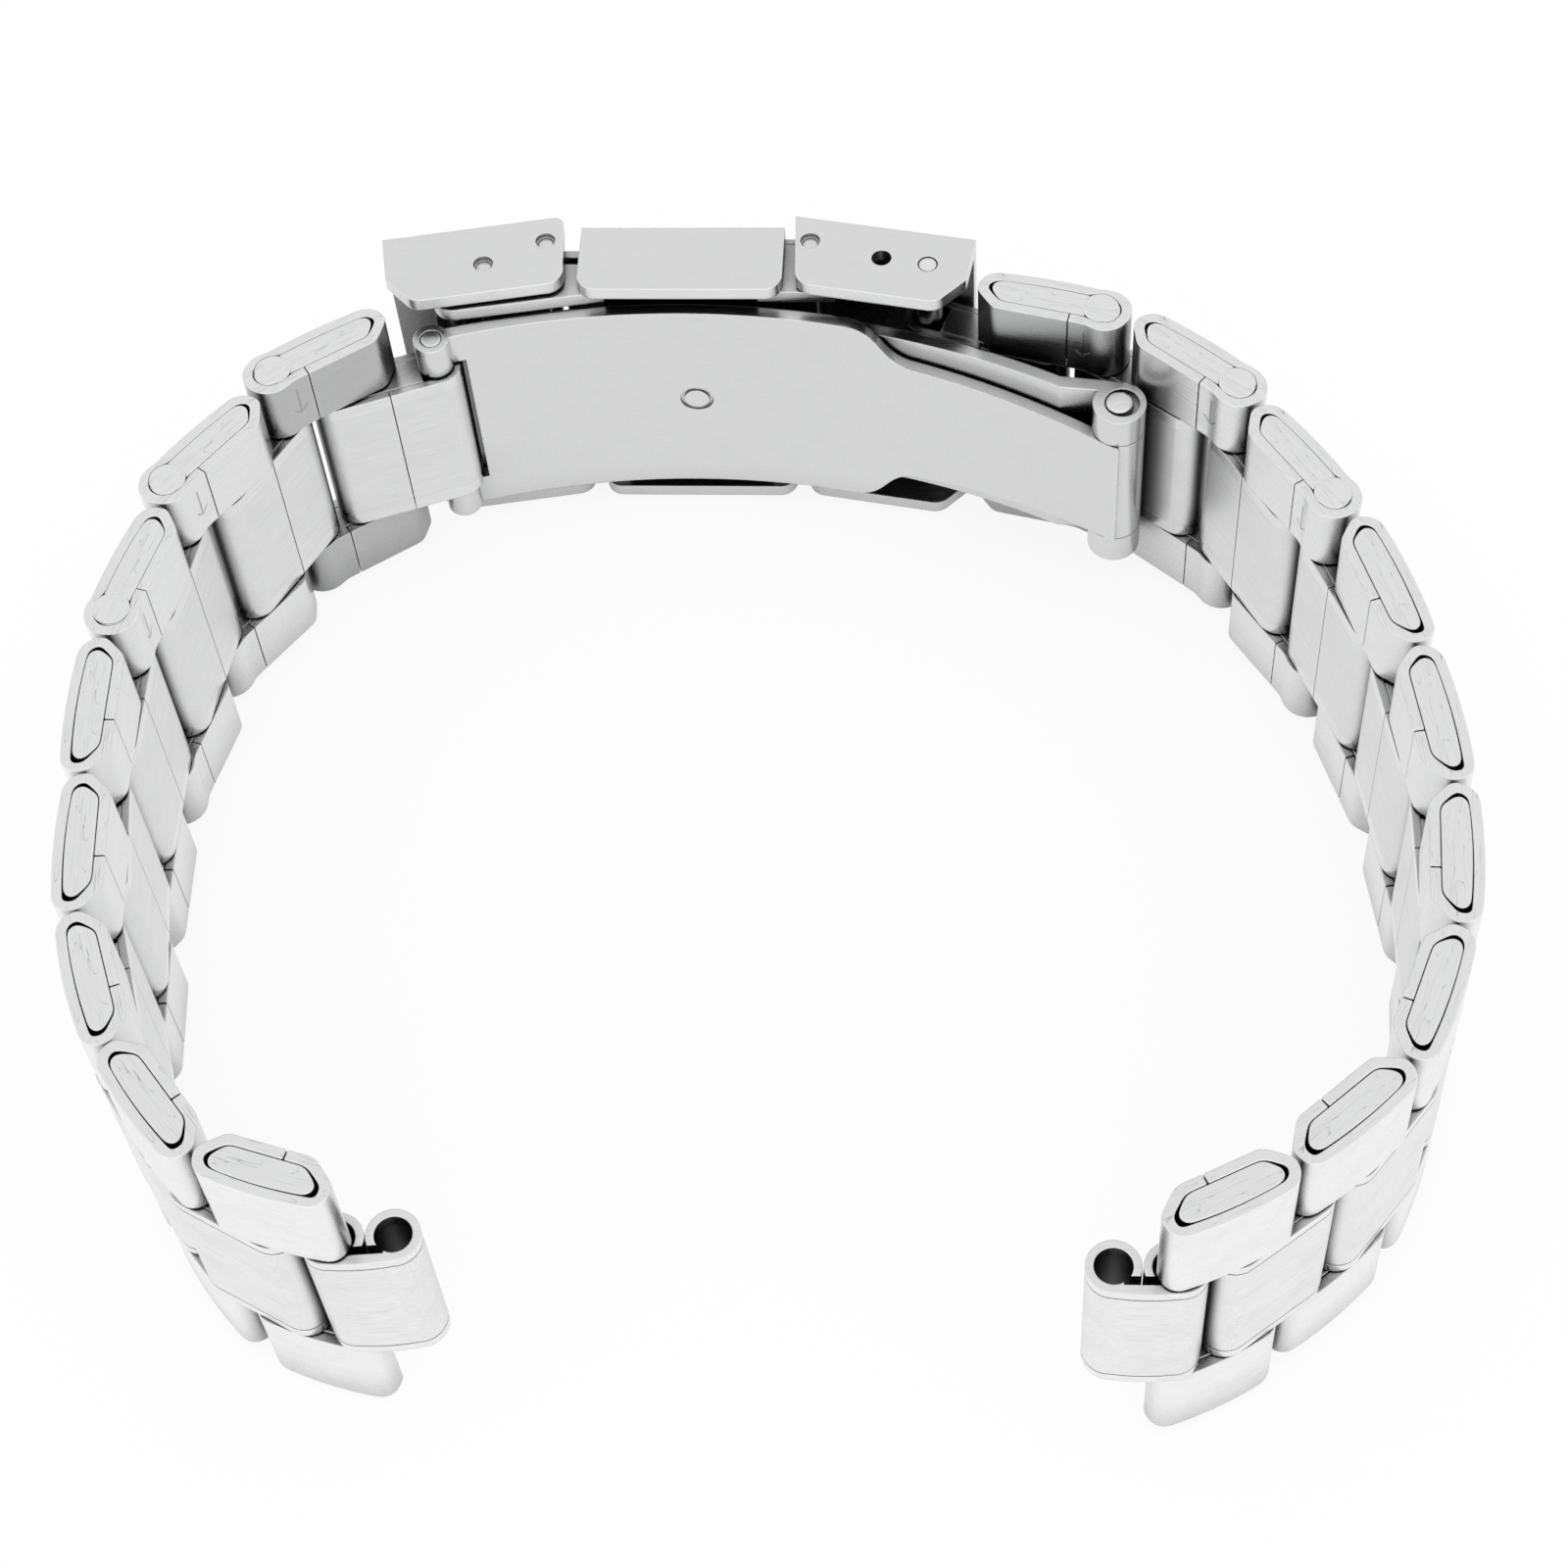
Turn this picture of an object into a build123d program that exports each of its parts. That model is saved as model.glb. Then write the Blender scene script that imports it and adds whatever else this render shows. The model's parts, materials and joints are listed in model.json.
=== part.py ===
"""A folded-sheet link bracelet for a wrist watch, standing on its side edge.

The ring lies in one plane, seen from above as an open C: the folding clasp at
the back, and two chains of links that run forward from it to the lug ends.
Every link is drawn in its own plane, x along the chain and y away from the
wrist, and is built both ways from the middle of the band.
"""
import os
from math import atan2, cos, degrees, radians, sin, sqrt, tan

from build123d import *

# Widths of the band, measured along the pins
lug_width = 22.0
clasp_end_width = 18.0
centre_width = 10.1
side_gap = 0.12

# Folded links
link_thickness = 2.65
outer_spacing = 2.95
outer_spacing_loss = 0.15
centre_spacing = 5.9
centre_spacing_loss = 1.5
first_reach = 6.85
lug_overhang = 1.7
end_gap = 0.33
shell_wall = 0.55
centre_sheet = 0.4
fold_gap = 0.03
seam_gap = 0.06
core_end_gap = 0.2
core_corner = 0.28
crown = 0.14
clasp_bevel = 1.15
lug_bevel = 1.35
clasp_corner = 1.15
lug_corner = 0.85
nose_drop = 0.25
taper_power = 2
groove_inset = 0.72
groove_width = 0.1
groove_depth = 0.09

# Pins of the links
pin_radius = 0.88
running_gap = 0.04
tongue_gap = 0.08
plug_radius = 0.98
plug_gap = 0.04
eye_radius = 1.45
eye_drop = 0.12
removable_links = 3

# Lobes of the two end links, which take the watch's spring bars
lobe_gap = 0.45
lobe_reach = 0.4
lip_gap = 0.45
front_crown = 0.1

# Rest directions of the links in degrees, from the clasp to the lugs
left_outer_turns = [-153.6, -134.4, -112.7, -96.0, -92.8, -77.0, -57.9, -23.2]
left_centre_turns = [-167.6, -126.8, -106.2, -97.5, -89.8, -80.8, -62.6, -34.5, -2.0]
right_outer_turns = [-20.8, -46.3, -62.7, -78.0, -87.5, -99.6, -117.0, -145.2, -160.1]
right_centre_turns = [-25.8, -41.6, -65.9, -73.5, -86.4, -96.2, -111.9, -134.2, -148.9, 173.0]

# Clasp, in its own plane: x along the cover, y away from the wrist
clasp_turn = -7.4
clasp_x = -2.69
clasp_y = 31.78
cover_half = 9.3
side_sheet = 0.8
cover_sheet = 0.7
box_length = 10.1
box_depth = 4.72
box_lean = 9.9
box_start = 6.43
box_inset = 1.0
box_end_drop = 2.9
box_end_run = 1.3
box_corner = 1.0
bridge_left = 5.4
bridge_right = 5.85
bridge_step = 0.65
bridge_depth = 4.45
bridge_corner = 1.0
bridge_inset = 0.2
ear_inset = 1.0
ear_sheet = 0.8
ear_top = 1.1
ear_depth = 3.5
ear_round = 1.25
ear_eye = 0.75
ear_neck = 2.6
ear_bite = 1.4
cross_pin_radius = 0.42
cross_pin_x = 7.3
cross_pin_drop = 1.75
cross_pin_fit = 0.02
pin_recess = 0.3
recess_radius = 0.55
snap_x = 10.6
snap_drop = 3.43
snap_room = 0.12
snap_reach = 0.85
hole_radius = 0.55
bar_along = 7.83
bar_drop = 2.14
spare_along = 5.26
flap_round = 0.5
flap_slot = 1.5

# Folding blades
blade_sheet = 0.7
blade_gap = 0.15
blade_curve = 46.0
blade_drop = 5.3
inner_half = 7.3
narrow_half = 4.7
narrow_start = 9.2
narrow_end = 13.2
mid_half = 6.1
knuckle_half = 4.1
knuckle_gap = 0.06
knuckle_radius = 1.45
knuckle_room = 0.12
sink_radius = 0.95
sink_shift = 0.15
sink_depth = 0.35
fold_x = 24.2
fold_pin_radius = 0.75
pin_proud = 0.12
pin_round = 0.15
flare_x = 21.0
cover_hinge_x = 12.2
cover_hinge_radius = 1.3
cover_pin_radius = 0.6
end_pin_x = 13.4
end_pin_drop = 7.1
end_pin_radius = 0.6
end_eye_radius = 1.0
head_notch = 11.75
head_gap = 0.15
dimple_radius = 0.95
dimple_line = 0.25
dimple_depth = 0.15
dimple_x = 0.6

# Spring bar in the clasp
tube_radius = 0.8
tube_bore = 0.56
tube_inset = 2.3
tip_radius = 0.48
tip_collar = 0.53
tip_recess = 0.05
collar_start = 4.5
collar_end = 6.0
spring_half = 3.6
spring_radius = 0.5
spring_bore = 0.3

# The ring stands on its side edge, leaning back on the narrower clasp
ring_lean = 1.75
ring_x = 1.24
ring_y = 0.27
stand_height = 10.29
cut_overrun = 2.0

half_thick = link_thickness / 2
half_centre = centre_width / 2
outer_start = half_centre + side_gap
miter_share = tan(radians(22.5))
arc_share = sqrt(0.5)

ring = Plane(
    origin=(ring_x, ring_y, stand_height),
    x_dir=(1, 0, 0),
    z_dir=(0, sin(radians(ring_lean)), cos(radians(ring_lean))),
)


def ring_point(x, y):
    """A point of the ring's middle plane."""
    return ring.origin + ring.x_dir * x + ring.y_dir * y


def ring_direction(turn):
    """A direction in the ring's middle plane, turned in degrees from its x."""
    return ring.x_dir * cos(radians(turn)) + ring.y_dir * sin(radians(turn))


def chain_plane(x, y, turn, side):
    """A link's plane: x along the chain and y away from the wrist on either side."""
    return Plane(origin=ring_point(x, y), x_dir=ring_direction(turn), z_dir=ring.z_dir * side)


def clasp_point(x, y):
    """A point of the clasp's plane, given in the ring's coordinates."""
    turn = radians(clasp_turn)
    return clasp_x + x * cos(turn) - y * sin(turn), clasp_y + x * sin(turn) + y * cos(turn)


clasp = Plane(
    origin=ring_point(clasp_x, clasp_y),
    x_dir=ring_direction(clasp_turn),
    z_dir=ring.z_dir,
)
clasp_face = Plane(origin=clasp.origin, x_dir=clasp.x_dir, z_dir=clasp.y_dir * -1)


def box_point(along, drop):
    """A point of the right end box in the clasp's plane."""
    lean = radians(box_lean)
    return (
        box_start + along * cos(lean) - drop * sin(lean),
        -along * sin(lean) - drop * cos(lean),
    )


right_box = Plane(
    origin=clasp.origin + clasp.x_dir * box_start,
    x_dir=ring_direction(clasp_turn - box_lean),
    z_dir=ring.z_dir,
)
left_box = Plane(
    origin=clasp.origin - clasp.x_dir * box_start,
    x_dir=ring_direction(clasp_turn + box_lean) * -1,
    z_dir=ring.z_dir * -1,
)


# Taper of the links from the clasp to the lugs
def eased(number, count):
    """How far the taper has gone at one link: slow at the clasp, fast at the lugs."""
    return ((number - 1) / (count - 1)) ** taper_power


def outer_width(number, count):
    narrow = (clasp_end_width - centre_width) / 2 - side_gap
    wide = (lug_width - centre_width) / 2 - side_gap
    return narrow + (wide - narrow) * eased(number, count)


def outer_pitch(number, count):
    return outer_spacing - outer_spacing_loss * eased(number, count)


def centre_pitch(number, count):
    return centre_spacing - centre_spacing_loss * eased(number, count)


def chain(start, outer_turns, centre_turns, first_pitch):
    """The pins of one chain in order, as (x, y, turn of the link that starts there)."""
    count = len(outer_turns)
    stations = []
    x, y = start
    for number in range(1, count + 1):
        reach = first_pitch if number == 1 else centre_pitch(number, count)
        steps = (
            (centre_turns[number - 1], reach),
            (outer_turns[number - 1], outer_pitch(number, count)),
        )
        for turn, length in steps:
            stations.append((x, y, turn))
            x = x + length * cos(radians(turn))
            y = y + length * sin(radians(turn))
    stations.append((x, y, centre_turns[-1]))
    return stations


def link_outline(spacing, before, after, inset, end_corner):
    """Outer link seen along its pins, drawn inside its full outline by the inset."""
    low = -half_thick + inset
    high = half_thick - inset
    start = -before + inset
    end = spacing + after - inset
    foot_start = -before + clasp_bevel + inset * miter_share
    foot_end = spacing + after - lug_bevel - inset * miter_share
    nose = -nose_drop + inset * miter_share
    start_round = clasp_corner - inset
    end_round = end_corner - inset
    brow = high - crown
    with BuildSketch() as outline:
        with BuildLine():
            Polyline(
                (start, brow - start_round),
                (start, nose),
                (foot_start, low),
                (foot_end, low),
                (end, nose),
                (end, brow - end_round),
            )
            ThreePointArc(
                (end, brow - end_round),
                (end - end_round * (1 - arc_share), brow - end_round * (1 - arc_share)),
                (end - end_round, brow),
            )
            ThreePointArc(
                (end - end_round, brow),
                ((start + start_round + end - end_round) / 2, high),
                (start + start_round, brow),
            )
            ThreePointArc(
                (start + start_round, brow),
                (start + start_round * (1 - arc_share), brow - start_round * (1 - arc_share)),
                (start, brow - start_round),
            )
        make_face()
    return outline.sketch


def core_outline(spacing, before, after):
    """The folded core seen along the pins: straighter than the shell around it."""
    inset = shell_wall + fold_gap
    low = -half_thick + inset
    high = half_thick - inset
    start = -before + shell_wall + core_end_gap
    end = spacing + after - shell_wall - core_end_gap
    foot_start = -before + clasp_bevel + inset * miter_share
    foot_end = spacing + after - lug_bevel - inset * miter_share
    nose = -nose_drop + inset * miter_share
    brow = high - crown
    with BuildSketch() as outline:
        with BuildLine():
            Polyline(
                (start + core_corner, brow),
                (start, brow - core_corner),
                (start, nose),
                (foot_start, low),
                (foot_end, low),
                (end, nose),
                (end, brow - core_corner),
                (end - core_corner, brow),
            )
            ThreePointArc(
                (end - core_corner, brow),
                ((start + end) / 2, high),
                (start + core_corner, brow),
            )
        make_face()
    return outline.sketch


def link_eye(spacing, after, inset):
    """The round eye that a removable link has about its push pin."""
    with BuildSketch() as eye:
        with Locations((spacing + after - eye_radius, -eye_drop)):
            Circle(eye_radius - inset)
    return eye.sketch


def link_reaches(number, count):
    """How far an outer link reaches before its first pin and past its second."""
    after = lug_overhang * centre_pitch(number, count) / centre_spacing
    before = centre_pitch(number, count) - after - end_gap
    return before, after


def outer_shells(place, number, count, removable):
    """The two folded shells of one outer link, above and below the centre links."""
    spacing = outer_pitch(number, count)
    before, after = link_reaches(number, count)
    width = outer_width(number, count)
    end_corner = clasp_corner if removable else lug_corner
    with BuildPart() as shells:
        for side in (1, -1):
            with BuildSketch(place.offset(side * outer_start)):
                add(link_outline(spacing, before, after, 0, end_corner))
                if removable:
                    add(link_eye(spacing, after, 0))
                    add(link_eye(spacing, after, shell_wall), mode=Mode.SUBTRACT)
                    with Locations((spacing, 0)):
                        Circle(plug_radius + plug_gap, mode=Mode.SUBTRACT)
                add(link_outline(spacing, before, after, shell_wall, end_corner), mode=Mode.SUBTRACT)
                with Locations((spacing / 2 - seam_gap, -half_thick)):
                    Rectangle(seam_gap, shell_wall * 2 + crown, mode=Mode.SUBTRACT)
            extrude(amount=side * width)
    return shells.part


def outer_core(place, number, count, removable):
    """The folded cores inside the shells, with the pins that join them."""
    spacing = outer_pitch(number, count)
    before, after = link_reaches(number, count)
    width = outer_width(number, count)
    fixed_pins = [(0, 0)] if removable else [(0, 0), (spacing, 0)]
    with BuildPart() as core:
        for side in (1, -1):
            with BuildSketch(place.offset(side * outer_start)):
                add(core_outline(spacing, before, after))
                if removable:
                    add(link_eye(spacing, after, shell_wall + fold_gap))
                    with Locations((spacing, 0)):
                        Circle(plug_radius + plug_gap, mode=Mode.SUBTRACT)
            extrude(amount=side * width)
        with BuildSketch(place):
            with Locations(*fixed_pins):
                Circle(pin_radius)
        extrude(amount=outer_start, both=True)
    return core.part


def push_pin(place, number, count):
    """A removable link's pin, with a round plug at both ends of the band."""
    spacing = outer_pitch(number, count)
    width = outer_width(number, count)
    with BuildPart() as pin:
        with BuildSketch(place):
            with Locations((spacing, 0)):
                Circle(pin_radius)
        extrude(amount=outer_start, both=True)
        for side in (1, -1):
            with BuildSketch(place.offset(side * outer_start)):
                with Locations((spacing, 0)):
                    Circle(plug_radius)
            extrude(amount=side * width)
    return pin.part


def edge_grooves(place, spacing):
    """The fine grooves near both side edges, on the outer half of a centre link."""
    with BuildPart() as grooves:
        for side in (1, -1):
            with BuildSketch(place.offset(side * (half_centre - groove_inset))):
                with Locations((spacing / 2, 0)):
                    SlotCenterToCenter(spacing, link_thickness + centre_sheet)
                    SlotCenterToCenter(
                        spacing, link_thickness - groove_depth * 2, mode=Mode.SUBTRACT
                    )
                    Rectangle(
                        spacing + link_thickness * 2,
                        link_thickness,
                        align=(Align.CENTER, Align.MAX),
                        mode=Mode.SUBTRACT,
                    )
            extrude(amount=side * groove_width)
    return grooves.part


def centre_link(place, spacing):
    """One centre link: a folded sheet with a tongue that holds both pins apart."""
    with BuildPart() as link:
        with BuildSketch(place.offset(-half_centre)):
            with Locations((spacing / 2, 0)):
                SlotCenterToCenter(spacing, link_thickness)
                SlotCenterToCenter(spacing, link_thickness - centre_sheet * 2, mode=Mode.SUBTRACT)
            with Locations((spacing / 2, -half_thick)):
                Rectangle(seam_gap, centre_sheet * 2 + seam_gap, mode=Mode.SUBTRACT)
            with Locations((spacing / 2, 0)):
                Rectangle(
                    spacing - (pin_radius + tongue_gap) * 2,
                    link_thickness - (centre_sheet + fold_gap) * 2,
                )
        extrude(amount=centre_width)
        add(edge_grooves(place, spacing), mode=Mode.SUBTRACT)
    return link.part


def end_link(place):
    """An end link: one sheet curled into two lobes whose lips meet in the middle."""
    spacing = link_thickness + lobe_gap
    bore = half_thick - centre_sheet
    with BuildPart() as link:
        with BuildSketch(place.offset(-half_centre)):
            with Locations((lobe_reach / 2, 0)):
                SlotCenterToCenter(lobe_reach, link_thickness)
            with Locations((spacing, 0)):
                Circle(half_thick)
            with BuildLine():
                ThreePointArc(
                    (0, half_thick), (spacing / 2, half_thick + front_crown), (spacing, half_thick)
                )
                Polyline((spacing, half_thick), (spacing, bore), (0, bore), (0, half_thick))
            make_face()
            with Locations((spacing / 2, bore - lip_gap / 2)):
                Rectangle(spacing - bore, lip_gap, mode=Mode.SUBTRACT)
            with Locations((lobe_reach / 2, 0)):
                SlotCenterToCenter(lobe_reach, bore * 2, mode=Mode.SUBTRACT)
            with Locations((spacing, 0)):
                Circle(bore, mode=Mode.SUBTRACT)
        extrude(amount=centre_width)
        add(edge_grooves(place, spacing), mode=Mode.SUBTRACT)
    return link.part


os.makedirs("parts", exist_ok=True)

# Both chains of links
left_start = clasp_point(-end_pin_x, -end_pin_drop)
right_start = clasp_point(*box_point(bar_along, bar_drop))
chains = {
    "left": (-1, chain(left_start, left_outer_turns, left_centre_turns, centre_spacing)),
    "right": (1, chain(right_start, right_outer_turns, right_centre_turns, first_reach)),
}

for name, (side, stations) in chains.items():
    count = len(stations) // 2
    for number in range(1, count + 1):
        x, y, turn = stations[number * 2 - 1]
        place = chain_plane(x, y, turn, side)
        removable = number <= removable_links
        link = Compound(
            label=f"outer_link_{name}_{number}",
            children=[
                outer_shells(place, number, count, removable),
                outer_core(place, number, count, removable),
            ],
        )
        export_step(link, f"parts/outer_link_{name}_{number}.step")
        if removable:
            pin = push_pin(place, number, count)
            pin.label = f"push_pin_{name}_{number}"
            export_step(pin, f"parts/push_pin_{name}_{number}.step")
    for number in range(1, count + 2):
        x, y, turn = stations[number * 2 - 2]
        place = chain_plane(x, y, turn, side)
        if number > count:
            link = end_link(place)
        elif number == 1 and name == "right":
            link = centre_link(place, first_reach)
        else:
            link = centre_link(place, centre_pitch(number, count))
        link.label = f"centre_link_{name}_{number}"
        export_step(link, f"parts/centre_link_{name}_{number}.step")


# Cover of the clasp: a centre bridge with ears that reach into both end boxes
ear_outside = cover_half - ear_inset
wall_outside = cover_half - bridge_inset
bridge_low = -bridge_step - bridge_depth
blade_centre = -blade_drop - blade_curve


def on_arc(radius, x):
    """Height in the clasp's plane of a point at x on an arc about the blades' centre."""
    return blade_centre + sqrt(radius**2 - x**2)


mid_inner = blade_curve + blade_sheet + blade_gap
mid_outer = mid_inner + blade_sheet
cover_hinge_y = on_arc(mid_inner + cover_hinge_radius, cover_hinge_x)
fold_y = on_arc(blade_curve + knuckle_radius, fold_x)
snap_swing = degrees(atan2(snap_drop - cross_pin_drop, snap_x - cross_pin_x))

with BuildPart() as bridge:
    with BuildSketch(clasp.offset(-wall_outside)):
        with BuildLine():
            Polyline(
                (-bridge_left, -bridge_step),
                (bridge_right, -bridge_step),
                (bridge_right, bridge_low),
                (-bridge_left, bridge_low),
                close=True,
            )
        make_face()
    extrude(amount=wall_outside * 2)
    lower_corners = bridge.edges().filter_by(Axis(clasp.origin, clasp.z_dir))
    fillet(lower_corners.sort_by(Axis(clasp.origin, clasp.y_dir))[:2], bridge_corner)
    with BuildSketch(clasp.offset(-wall_outside + side_sheet)):
        with Locations((0, -bridge_step - cover_sheet)):
            Rectangle(
                (bridge_left + bridge_right) * 2,
                bridge_depth * 2,
                align=(Align.CENTER, Align.MAX),
            )
    extrude(amount=(wall_outside - side_sheet) * 2, mode=Mode.SUBTRACT)
    for side in (1, -1):
        with BuildSketch(clasp.offset(side * ear_outside)):
            with BuildLine():
                Polyline(
                    (-bridge_left + ear_bite, -ear_neck),
                    (-cross_pin_x + ear_eye, -ear_neck),
                    (-cross_pin_x - ear_eye, -cross_pin_drop),
                    (-cover_hinge_x, cover_hinge_y + ear_round),
                    (-cover_hinge_x, cover_hinge_y - ear_round),
                    (-bridge_left + ear_bite, -ear_top - ear_depth),
                    close=True,
                )
            make_face()
            with Locations((-cross_pin_x, -cross_pin_drop)):
                Circle(ear_eye)
            with Locations((-cover_hinge_x, cover_hinge_y)):
                Circle(ear_round)
                Circle(cover_pin_radius, mode=Mode.SUBTRACT)
            with Locations((cross_pin_x / 2 + bridge_right / 2, -ear_top - ear_depth / 2)):
                Rectangle(cross_pin_x - bridge_right + ear_bite * 2, ear_depth)
            with Locations((-cross_pin_x, -cross_pin_drop), (cross_pin_x, -cross_pin_drop)):
                Circle(cross_pin_radius, mode=Mode.SUBTRACT)
            with Locations(Location((-snap_x, -snap_drop, 0), snap_swing)):
                Circle(cross_pin_radius + snap_room, mode=Mode.SUBTRACT)
                Rectangle(
                    (cross_pin_radius + snap_room) * 2,
                    ear_depth,
                    align=(Align.CENTER, Align.MIN),
                    mode=Mode.SUBTRACT,
                )
        extrude(amount=-side * ear_sheet)
bridge.part.label = "bridge"
export_step(bridge.part, "parts/bridge.step")


def end_box(place, first_inset, joint_round):
    """One end box of the cover: a plate with two side walls, open to the wrist."""
    with BuildPart() as box:
        with BuildSketch(place.offset(-cover_half)):
            with BuildLine():
                Polyline(
                    (0, 0),
                    (box_length, 0),
                    (box_length, -box_end_drop),
                    (box_length - box_end_run, -box_depth),
                    (first_inset, -box_depth),
                    close=True,
                )
            make_face()
            fillet(vertices().group_by(Axis.Y)[0], box_corner)
            if joint_round:
                fillet(vertices().sort_by(Axis.X)[0], joint_round)
        extrude(amount=cover_half * 2)
        with BuildSketch(place.offset(-cover_half + side_sheet)):
            with Locations((0, -cover_sheet)):
                Rectangle(
                    (box_length + cut_overrun) * 2,
                    box_depth * 2,
                    align=(Align.CENTER, Align.MAX),
                )
        extrude(amount=(cover_half - side_sheet) * 2, mode=Mode.SUBTRACT)
    return box.part


with BuildPart() as adjust_box:
    add(end_box(right_box, box_inset, 0))
    with BuildSketch(clasp.offset(-cover_half)):
        with Locations((cross_pin_x, -cross_pin_drop)):
            Circle(cross_pin_radius + cross_pin_fit)
        with Locations(box_point(bar_along, bar_drop), box_point(spare_along, bar_drop)):
            Circle(hole_radius)
    extrude(amount=cover_half * 2, mode=Mode.SUBTRACT)
    for side in (1, -1):
        with BuildSketch(clasp.offset(side * cover_half)):
            with Locations((cross_pin_x, -cross_pin_drop)):
                Circle(recess_radius)
        extrude(amount=-side * pin_recess, mode=Mode.SUBTRACT)
adjust_box.part.label = "adjust_box"
export_step(adjust_box.part, "parts/adjust_box.step")

with BuildPart() as safety_flap:
    add(end_box(left_box, box_inset / 2, flap_round))
    with BuildSketch(clasp.offset(-cover_half)):
        with Locations((-cross_pin_x, -cross_pin_drop)):
            Circle(cross_pin_radius + cross_pin_fit)
        with Locations((-snap_x, -snap_drop)):
            Circle(cross_pin_radius + cross_pin_fit)
    extrude(amount=cover_half * 2, mode=Mode.SUBTRACT)
    for side in (1, -1):
        with BuildSketch(clasp.offset(side * cover_half)):
            with Locations((-cross_pin_x, -cross_pin_drop), (-snap_x, -snap_drop)):
                Circle(recess_radius)
        extrude(amount=-side * pin_recess, mode=Mode.SUBTRACT)
    with BuildSketch(left_box.offset(-cover_half + side_sheet)):
        Rectangle(flap_slot * 2, cover_sheet * 2 + box_inset)
    extrude(amount=(cover_half - side_sheet) * 2, mode=Mode.SUBTRACT)
safety_flap.part.label = "safety_flap"
export_step(safety_flap.part, "parts/safety_flap.step")

for name, sign in (("flap_pin", -1), ("box_pin", 1)):
    with BuildPart() as cross_pin:
        with BuildSketch(clasp):
            with Locations((sign * cross_pin_x, -cross_pin_drop)):
                Circle(cross_pin_radius)
        extrude(amount=cover_half - pin_recess, both=True)
    cross_pin.part.label = name
    export_step(cross_pin.part, f"parts/{name}.step")

with BuildPart() as snap_pins:
    for side in (1, -1):
        with BuildSketch(clasp.offset(side * (cover_half - pin_recess))):
            with Locations((-snap_x, -snap_drop)):
                Circle(cross_pin_radius)
        extrude(amount=-side * (side_sheet + snap_reach - pin_recess))
snap_pins.part.label = "snap_pins"
export_step(snap_pins.part, "parts/snap_pins.step")


# Blades of the fold
def blade_band(inside, outside, start_x, end_x):
    """A band between two arcs about the blades' centre, from one x to another."""
    middle = (start_x + end_x) / 2
    with BuildSketch() as band:
        with BuildLine():
            ThreePointArc(
                (start_x, on_arc(outside, start_x)),
                (middle, on_arc(outside, middle)),
                (end_x, on_arc(outside, end_x)),
            )
            Line((end_x, on_arc(outside, end_x)), (end_x, on_arc(inside, end_x)))
            ThreePointArc(
                (end_x, on_arc(inside, end_x)),
                (middle, on_arc(inside, middle)),
                (start_x, on_arc(inside, start_x)),
            )
            Line((start_x, on_arc(inside, start_x)), (start_x, on_arc(outside, start_x)))
        make_face()
    return band.sketch


with BuildPart() as mid_blade:
    with BuildSketch(clasp.offset(-mid_half)):
        add(blade_band(mid_inner, mid_outer, -cover_hinge_x, flare_x))
        with BuildLine():
            Polyline(
                (flare_x, on_arc(mid_outer, flare_x)),
                (fold_x, fold_y + knuckle_radius),
                (fold_x, fold_y + knuckle_radius - blade_sheet),
                (flare_x, on_arc(mid_inner, flare_x)),
                close=True,
            )
        make_face()
        with Locations((-cover_hinge_x, cover_hinge_y)):
            Circle(cover_hinge_radius)
            Circle(cover_pin_radius + running_gap, mode=Mode.SUBTRACT)
        with Locations((fold_x, fold_y)):
            Circle(knuckle_radius)
            Circle(fold_pin_radius, mode=Mode.SUBTRACT)
    extrude(amount=mid_half * 2)
    with BuildSketch(clasp.offset(-knuckle_half - knuckle_gap)):
        with Locations((fold_x, fold_y)):
            Circle(knuckle_radius + knuckle_room)
            Rectangle(
                knuckle_radius * 2 + cut_overrun,
                knuckle_radius * 2 + cut_overrun,
                align=(Align.MIN, Align.CENTER),
            )
    extrude(amount=(knuckle_half + knuckle_gap) * 2, mode=Mode.SUBTRACT)
    for side in (1, -1):
        with BuildSketch(clasp.offset(side * mid_half)):
            with Locations((fold_x + sink_shift, fold_y)):
                Circle(sink_radius)
        extrude(amount=-side * sink_depth, mode=Mode.SUBTRACT)
mid_blade.part.label = "mid_blade"
export_step(mid_blade.part, "parts/mid_blade.step")

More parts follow.
